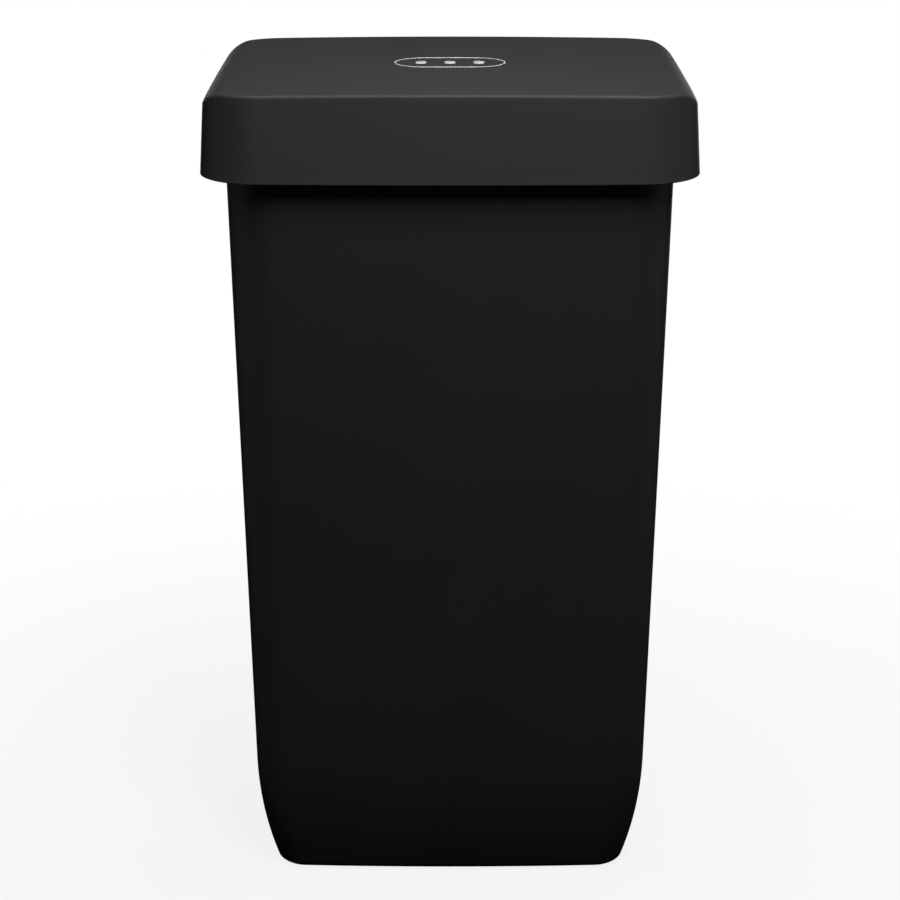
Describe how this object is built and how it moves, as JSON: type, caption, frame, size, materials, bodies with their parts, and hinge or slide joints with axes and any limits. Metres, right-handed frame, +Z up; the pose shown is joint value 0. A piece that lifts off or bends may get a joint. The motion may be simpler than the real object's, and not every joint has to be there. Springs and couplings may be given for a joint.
{
  "type": "lidded waste bin",
  "caption": "Free-standing black plastic waste bin: tapered tub, deep overhanging hinged lid with rounded shoulders, and a lift-out metal liner with a bail handle.",
  "frame": {"origin": "on the floor, under the middle of the lid", "axes": "+Z up, -Y towards the front, +X to the right as seen from the front"},
  "size_m": [0.4, 0.3224, 0.68],
  "materials": {
    "tub_plastic": "satin moulded black polypropylene",
    "lid_plastic": "satin moulded black polypropylene, finely grained",
    "inner_plastic": "matt moulded black polypropylene",
    "rubber": "matt black rubber",
    "nylon": "natural nylon",
    "steel": "bright zinc plate",
    "galvanised_steel": "hot-dip galvanised, softly spangled",
    "grip_plastic": "matt black tube"
  },
  "bodies": {
    "bin": {"tub": "tub_plastic", "spreader_washers": "steel", "foot_pad_front_left": "rubber", "foot_pad_front_right": "rubber", "foot_pad_rear_left": "rubber", "foot_pad_rear_right": "rubber", "collar": "inner_plastic", "collar_screws": "steel", "seal_strip": "rubber", "hinge_bushes_left": "nylon", "hinge_bushes_right": "nylon"},
    "lid": {"lid_cover": "lid_plastic", "lid_inner_panel": "inner_plastic", "hinge_arm_left": "steel", "hinge_arm_right": "steel", "hinge_rivets": "steel", "hinge_pin_left": "steel", "hinge_pin_right": "steel", "pin_clips": "steel"},
    "bucket": {"liner": "galvanised_steel", "bail_boss_left": "galvanised_steel", "bail_boss_right": "galvanised_steel"},
    "bail": {"bail_wire": "galvanised_steel", "bail_grip": "grip_plastic"}
  },
  "joints": [
    {"name": "lid_hinge", "type": "hinge", "parent": "bin", "child": "lid", "pos_m": [0, 0.14986, 0.614], "axis": [-1, 0, 0], "range_deg": [0, 100]},
    {"name": "liner_lift", "type": "slide", "parent": "bin", "child": "bucket", "axis": [0, 0, 1], "range_m": [0, 0.025]},
    {"name": "bail_swing", "type": "hinge", "parent": "bucket", "child": "bail", "pos_m": [0, 0, 0.555], "axis": [1, 0, 0], "range_deg": [-180, 180]}
  ]
}
